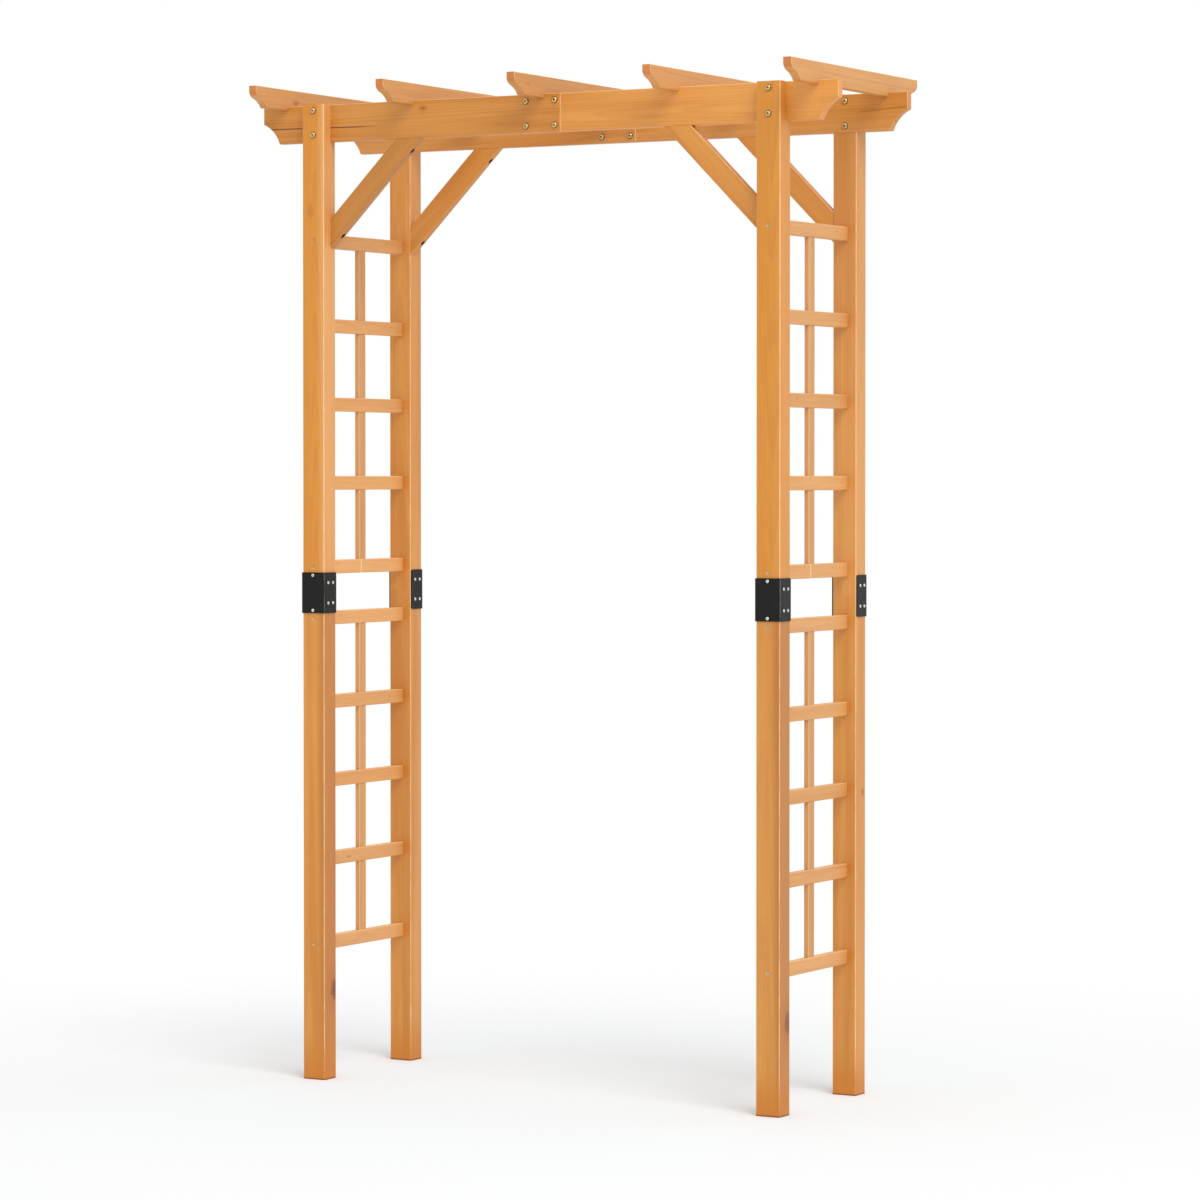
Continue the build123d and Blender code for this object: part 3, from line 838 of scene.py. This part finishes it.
def set_fasteners(name, node, template, places, material):
    """Sets copies of one fastener at their seats, each turned a little differently, in one piece."""
    chance = random.Random(name)
    shape = bmesh.new()
    for seat, outward in places:
        known = set(shape.verts)
        shape.from_mesh(template)
        fresh = [vert for vert in shape.verts if vert not in known]
        spin = Matrix.Rotation(chance.uniform(0, math.tau), 4, "Z")
        aim = Vector(outward).to_track_quat("Z", "Y").to_matrix().to_4x4()
        bmesh.ops.transform(shape, matrix=Matrix.Translation(seat) @ aim @ spin, verts=fresh)
    mesh = bpy.data.meshes.new(name)
    shape.to_mesh(mesh)
    shape.free()
    mesh.materials.append(material)
    piece = bpy.data.objects.new(name, mesh)
    bpy.context.scene.collection.objects.link(piece)
    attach(piece, "root")
    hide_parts(node)


def bolt_seats():
    """Where the head of each bolt and sleeve nut sits, and which way it faces, by CAD node."""
    radius = settings().fasteners.bolt_head / 2
    low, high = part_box("splice_bolts")
    heights = (low.z + radius, high.z - radius)
    splice_x = (low.x + radius, high.x - radius)
    places = {"post_bolts": [], "post_sleeve_nuts": [], "splice_bolts": [], "splice_sleeve_nuts": []}
    for row, sign in ROWS.items():
        beam_low, beam_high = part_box(f"{row}_beam_left")
        inner, outer = sorted((beam_low.y, beam_high.y), key=abs)
        outward = ALONG_Y * sign
        for height in heights:
            for side in SIDES:
                post = f"{row}_{side}_post_upper"
                post_x = middle_of(post).x
                places["post_bolts"].append(((post_x, outer_y(post), height), outward))
                places["post_sleeve_nuts"].append(((post_x, inner, height), -outward))
            for x in splice_x:
                places["splice_bolts"].append(((x, outer, height), outward))
                places["splice_sleeve_nuts"].append(((x, inner, height), -outward))
    return places


def bolt_shade_rings(name):
    """The ring of painted shade round each bolt head on one board, along the bolt's axis."""
    reach = settings().fasteners.bolt_head / 2 * BOLT_SHADE_REACH
    low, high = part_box(name)
    seats = bolt_seats()
    rings = []
    for x, y, z in [seat[0] for seat in seats["post_bolts"] + seats["splice_bolts"]]:
        if low.x < x < high.x and low.z < z < high.z and y * (low.y + high.y) > 0:
            rings.append((Vector((x, y, z)), ALONG_Y, reach, BOLT_SHADE_SHARE))
    return rings


def bracket_screw_seats():
    """Where each screw of the brackets sits: two in the web and four in each flange."""
    sizes = settings().fasteners
    seats = []
    for row, side in product(ROWS, SIDES):
        sign = ROWS[row]
        bracket = f"{row}_{side}_bracket"
        low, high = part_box(bracket)
        middle = middle_of(bracket)
        post_face = outer_y(f"{row}_{side}_post_lower")
        for level in (-1, 1):
            web_z = middle.z + level * sizes.web_rise
            seats.append(((middle.x, outer_y(bracket), web_z), ALONG_Y * sign))
            flange_z = middle.z + level * sizes.flange_rise
            for inset in (sizes.flange_near, sizes.flange_far):
                y = post_face - sign * inset
                seats.append(((low.x, y, flange_z), -ALONG_X))
                seats.append(((high.x, y, flange_z), ALONG_X))
    return seats


def rung_screw_seats():
    """Where each screw sits that goes through a post into an end rung of a panel."""
    seats = []
    for row, side, half in product(ROWS, SIDES, HALVES):
        post_face = outer_y(f"{row}_{side}_post_{half}")
        for number in (RUNGS[0], RUNGS[-1]):
            middle = middle_of(f"{side}_{half}_rung_{number}")
            seats.append(((middle.x, post_face, middle.z), ALONG_Y * ROWS[row]))
    return seats


def rafter_screw_seats():
    """Where each screw sits that goes down through a rafter into a beam."""
    seats = []
    for number, row in product(RAFTERS, ROWS):
        low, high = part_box(f"rafter_{number}")
        beam_y = middle_of(f"{row}_beam_left").y
        seats.append((((low.x + high.x) / 2, beam_y, high.z), ALONG_Z))
    return seats


class StainPosts(bpy.types.Operator):
    """Stain the eight halves of the posts"""

    bl_idname = "garden_arch.stain_posts"
    bl_label = "Stain the posts"

    def execute(self, context):
        figures = {"lower": 0.2, "upper": 0.28}
        feet = {"lower": 0.75, "upper": 0.0}
        knots = {
            "front_left_post_lower": ((-0.489, -0.149, 0.18), 0.0125, 1.0),
            "front_right_post_lower": ((0.54, -0.1495, 0.178), 0.0125, 0.8),
        }
        hearts = {"front_left_post_lower": 0.75, "front_right_post_lower": 0.75}
        saps = {"front_left_post_lower": 0.0, "front_right_post_lower": 0.0, "front_left_post_upper": 0.6}
        riches = {"front_left_post_upper": 0.75, "front_right_post_upper": 0.75}
        pales = {"rear_right_post_upper": 0.2}
        tones = {
            "front_left_post_lower": 1.03,
            "front_right_post_lower": 0.93,
            "front_right_post_upper": 0.96,
            "rear_right_post_upper": 0.97,
        }
        for row, side, half in product(ROWS, SIDES, HALVES):
            name = f"{row}_{side}_post_{half}"
            stain_board(
                name,
                grain=ALONG_Z,
                thickness=ALONG_Y,
                pith_depth=0.055,
                figure=figures[half],
                tone=tones.get(name, 1.0),
                pale=pales.get(name, 0.0),
                rich=riches.get(name, 0.0),
                heart=hearts.get(name, 0.0),
                sap=saps.get(name, 0.15),
                knot=knots.get(name),
                foot=feet[half],
                rings=bolt_shade_rings(name),
            )
        return {"FINISHED"}


class StainBeams(bpy.types.Operator):
    """Stain the four halves of the beams"""

    bl_idname = "garden_arch.stain_beams"
    bl_label = "Stain the beams"

    def execute(self, context):
        tones = {
            "front_beam_left": 0.96,
            "front_beam_right": 1.13,
            "rear_beam_left": 0.98,
            "rear_beam_right": 0.96,
        }
        figures = {
            "front_beam_left": 0.42,
            "front_beam_right": 0.28,
            "rear_beam_left": 0.35,
            "rear_beam_right": 0.3,
        }
        pales = {"front_beam_right": 0.08, "rear_beam_left": 0.2}
        saps = {"rear_beam_right": 0.35}
        streaks = {
            "front_beam_left": ((-0.66, -0.16, 1.9195), (-0.36, -0.16, 1.9185), 0.0022, 0.9, 1.0),
            "rear_beam_right": ((0.67, 0.14, 1.9385), (0.53, 0.14, 1.9298), 0.0022, 0.55, 0.3),
        }
        knots = {"front_beam_left": ((-0.27, -0.1605, 1.9495), 0.003, 0.55)}
        for name, tone in tones.items():
            stain_board(
                name,
                grain=ALONG_X,
                thickness=ALONG_Y,
                pith_depth=0.045,
                figure=figures[name],
                tone=tone,
                pale=pales.get(name, 0.0),
                # Painted light on the end faces
                lit_ends=1.0,
                sap=saps.get(name, 0.0),
                knot=knots.get(name),
                streak=streaks.get(name),
                rings=bolt_shade_rings(name),
            )
        return {"FINISHED"}


class StainRafters(bpy.types.Operator):
    """Stain the five rafters"""

    bl_idname = "garden_arch.stain_rafters"
    bl_label = "Stain the rafters"

    def execute(self, context):
        knots = {"rafter_1": ((-0.591, -0.1315, 1.974), 0.003, 0.9)}
        for number in RAFTERS:
            name = f"rafter_{number}"
            stain_board(
                name,
                grain=ALONG_Y,
                thickness=ALONG_X,
                pith_depth=0.035,
                figure=0.2,
                tone=0.93,
                pale=0.4,
                knot=knots.get(name),
            )
        return {"FINISHED"}


class StainBraces(bpy.types.Operator):
    """Stain the four braces"""

    bl_idname = "garden_arch.stain_braces"
    bl_label = "Stain the braces"

    def execute(self, context):
        inset = settings().fasteners.brace_inset
        reach = settings().fasteners.brace_bore / 2 * BORE_SHADE_REACH
        tones = {"front_left_brace": 0.83}
        for row, side in product(ROWS, SIDES):
            sign = SIDES[side]
            name = f"{row}_{side}_brace"
            low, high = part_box(name)
            middle = (low.y + high.y) / 2
            tip = min(low.x, high.x, key=abs) + sign * inset
            # Painted shade in the bore at each end of the brace
            rings = (
                (Vector((tip, middle, 0)), ALONG_Z, reach, BORE_SHADE_SHARE),
                (Vector((0, middle, low.z + inset)), ALONG_X, reach, BORE_SHADE_SHARE),
            )
            stain_board(
                name,
                grain=(ALONG_Z - ALONG_X * sign).normalized(),
                thickness=ALONG_Y,
                pith_depth=0.035,
                figure=0.3,
                tone=tones.get(name, 0.97),
                rings=rings,
            )
        return {"FINISHED"}


class StainTrellis(bpy.types.Operator):
    """Stain the rungs and slats of the two trellis sides"""

    bl_idname = "garden_arch.stain_trellis"
    bl_label = "Stain the trellis"

    def execute(self, context):
        tones = {"left": 1.01, "right": 0.97}
        pales = (0.6, 0.5, 0.4, 0.5, 0.6)
        # Painted highlights across the top rungs, at the slats' front edges
        slat_edge_highlights = {"left_upper_rung_1": -0.0185, "right_upper_rung_1": -0.0185}
        for side, half in product(SIDES, HALVES):
            stain_board(
                f"{side}_{half}_slat",
                grain=ALONG_Z,
                thickness=ALONG_X,
                pith_depth=0.03,
                figure=0.15,
                tone=0.87,
                pale=0.5,
                sap=0.7,
                # A stronger painted highlight along the slats' arrises
                edge_lightening=1.8,
                knot_strength=0.3,
            )
            for number, pale in zip(RUNGS, pales):
                name = f"{side}_{half}_rung_{number}"
                stain_board(
                    name,
                    grain=ALONG_Y,
                    thickness=ALONG_X,
                    pith_depth=0.03,
                    figure=0.15,
                    tone=tones[side],
                    pale=pale,
                    knot_strength=0.3,
                    slat_edge_highlight=slat_edge_highlights.get(name),
                )
        return {"FINISHED"}


class CoatBrackets(bpy.types.Operator):
    """Coat the four brackets black"""

    bl_idname = "garden_arch.coat_brackets"
    bl_label = "Coat the brackets"

    def execute(self, context):
        material = black_coat()
        for row, side in product(ROWS, SIDES):
            dress(f"{row}_{side}_bracket", material)
        return {"FINISHED"}


class MakeBolts(bpy.types.Operator):
    """Make the bolts and sleeve nuts of the posts and the beam splices"""

    bl_idname = "garden_arch.make_bolts"
    bl_label = "Make the bolts"

    def execute(self, context):
        sizes = settings().fasteners
        metal = settings().metal
        plate = zinc_plate("yellow_zinc_plate", metal.gold, metal.blush)
        for node, seats in bolt_seats().items():
            shank = sizes.sleeve_shank if node.endswith("nuts") else sizes.bolt_shank
            length = sizes.post_bolt if node == "post_bolts" else sizes.short_bolt
            template = domed_bolt(shank, length)
            set_fasteners(node + "_plated", node, template, seats, plate)
        return {"FINISHED"}


class MakeScrews(bpy.types.Operator):
    """Make the screws of the brackets, rungs and rafters, and plate the brace screws"""

    bl_idname = "garden_arch.make_screws"
    bl_label = "Make the screws"

    def execute(self, context):
        sizes = settings().fasteners
        metal = settings().metal
        bright = zinc_plate("bright_zinc_plate", metal.bright, metal.dull)
        tarnished = zinc_plate("tarnished_zinc_plate", metal.tarnish, metal.dirty)
        pan = pan_screw(sizes.bracket_screw)
        seats = bracket_screw_seats()
        set_fasteners("bracket_screws_plated", "bracket_screws", pan, seats, bright)
        sunk = sunk_screw(sizes.rung_screw)
        seats = rung_screw_seats()
        set_fasteners("rung_screws_plated", "rung_screws", sunk, seats, tarnished)
        low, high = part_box("rafter_screws")
        sunk = sunk_screw(high.z - low.z)
        seats = rafter_screw_seats()
        set_fasteners("rafter_screws_plated", "rafter_screws", sunk, seats, tarnished)
        dress("brace_screws", tarnished)
        return {"FINISHED"}


def backdrop_ray(bench):
    """Is 1 for a ray that shows the backdrop: straight from the camera, mirrored or through glass."""
    ray = bench.add("ShaderNodeLightPath").outputs
    seen = bench.math("MAXIMUM", ray["Is Camera Ray"], ray["Is Glossy Ray"])
    return bench.math("MAXIMUM", seen, ray["Is Transmission Ray"])


def floor_paint():
    """Pale paint that holds the arch's shadow, is painted bluer under the arch to cancel the wood's warm
    bounce light, and turns white further out.
    """
    stage = settings().stage
    material, bench = new_material("studio_floor")
    place = bench.add("ShaderNodeTexCoord").outputs["Object"]
    white_way = bench.vector("LENGTH", bench.vector("SUBTRACT", place, stage.white_middle))
    far = bench.fade(white_way, stage.white_start, stage.white_reach)
    near = bench.fade(bench.vector("LENGTH", place), stage.near_reach, stage.near_core)
    paint_inputs = {
        "Base Color": bench.wash(opaque(stage.floor), stage.floor_bounce_cancel, near),
        "Roughness": bench.scale(bench.noise(place, size=0.6, detail=2), 0.6, 0.8),
        "Specular IOR Level": 0.0,
    }
    paint = bench.add("ShaderNodeBsdfPrincipled", paint_inputs)
    white = bench.add("ShaderNodeEmission", {"Color": WHITE, "Strength": 1.0})
    mix_inputs = {
        0: bench.times(far, backdrop_ray(bench)),
        1: paint.outputs["BSDF"],
        2: white.outputs["Emission"],
    }
    mixed = bench.add("ShaderNodeMixShader", mix_inputs)
    bench.add("ShaderNodeOutputMaterial", {"Surface": mixed.outputs["Shader"]})
    return material


class SetStage(bpy.types.Operator):
    """Set up the floor, the light and the camera"""

    bl_idname = "garden_arch.set_stage"
    bl_label = "Set up the studio"

    def execute(self, context):
        stage = settings().stage
        scene = context.scene
        scene.view_settings.view_transform = "Standard"
        self.lay_floor(scene, stage)
        self.light_sky(scene, stage)
        self.hang_soft_box(scene, stage)
        self.place_camera(scene, stage)
        return {"FINISHED"}

    def lay_floor(self, scene, stage):
        shape = bmesh.new()
        bmesh.ops.create_grid(shape, x_segments=1, y_segments=1, size=stage.floor_size / 2)
        mesh = bpy.data.meshes.new("studio_floor")
        shape.to_mesh(mesh)
        shape.free()
        mesh.materials.append(floor_paint())
        floor = bpy.data.objects.new("studio_floor", mesh)
        scene.collection.objects.link(floor)

    def light_sky(self, scene, stage):
        world = bpy.data.worlds.new("studio")
        world.use_nodes = True
        scene.world = world
        bench = NodeBench(world.node_tree)
        strength = bench.scale(backdrop_ray(bench), stage.sky, 1.0)
        sky = bench.add("ShaderNodeBackground", {"Color": WHITE, "Strength": strength})
        bench.add("ShaderNodeOutputWorld", {"Surface": sky.outputs["Background"]})

    def hang_soft_box(self, scene, stage):
        lamp = bpy.data.lights.new("soft_box", "AREA")
        lamp.shape = "DISK"
        lamp.size = stage.key_size
        lamp.energy = stage.key_power
        box = bpy.data.objects.new("soft_box", lamp)
        way = Euler((-stage.key_rise, 0, stage.key_turn)).to_matrix() @ -ALONG_Y
        box.location = ALONG_Z * stage.key_aim + way * stage.key_distance
        box.rotation_euler = way.to_track_quat("Z", "Y").to_euler()
        scene.collection.objects.link(box)

    def place_camera(self, scene, stage):
        lens = bpy.data.cameras.new("photo_camera")
        lens.sensor_width = stage.sensor
        lens.lens = stage.lens
        lens.shift_y = stage.lens_drop
        camera = bpy.data.objects.new("photo_camera", lens)
        camera.location = stage.camera_place
        camera.rotation_euler = (math.pi / 2 - stage.camera_tilt, 0, stage.camera_turn)
        scene.collection.objects.link(camera)
        scene.camera = camera


OPERATORS = (
    StainPosts,
    StainBeams,
    StainRafters,
    StainBraces,
    StainTrellis,
    CoatBrackets,
    MakeBolts,
    MakeScrews,
    SetStage,
)


class GardenArchPanel(bpy.types.Panel):
    """The arch's steps and settings"""

    bl_idname = "VIEW3D_PT_garden_arch"
    bl_label = "Garden arch"
    bl_space_type = "VIEW_3D"
    bl_region_type = "UI"
    bl_category = "Garden arch"

    def draw(self, context):
        for operator in OPERATORS:
            self.layout.operator(operator.bl_idname)
        chosen = context.scene.garden_arch
        for group in (chosen.wood, chosen.metal, chosen.fasteners, chosen.stage):
            part = self.layout.box()
            for name in group.__annotations__:
                part.prop(group, name)


GROUPS = (ArchWoodSettings, ArchMetalSettings, ArchFastenerSettings, ArchStageSettings, GardenArchSettings)


def register():
    for kind in GROUPS + OPERATORS + (GardenArchPanel,):
        bpy.utils.register_class(kind)
    bpy.types.Scene.garden_arch = PointerProperty(type=GardenArchSettings)


def unregister():
    del bpy.types.Scene.garden_arch
    for kind in reversed(GROUPS + OPERATORS + (GardenArchPanel,)):
        bpy.utils.unregister_class(kind)


def main():
    register()
    bpy.ops.garden_arch.stain_posts()
    bpy.ops.garden_arch.stain_beams()
    bpy.ops.garden_arch.stain_rafters()
    bpy.ops.garden_arch.stain_braces()
    bpy.ops.garden_arch.stain_trellis()
    bpy.ops.garden_arch.coat_brackets()
    bpy.ops.garden_arch.make_bolts()
    bpy.ops.garden_arch.make_screws()
    bpy.ops.garden_arch.set_stage()
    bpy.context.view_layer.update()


if __name__ == "__main__":
    main()
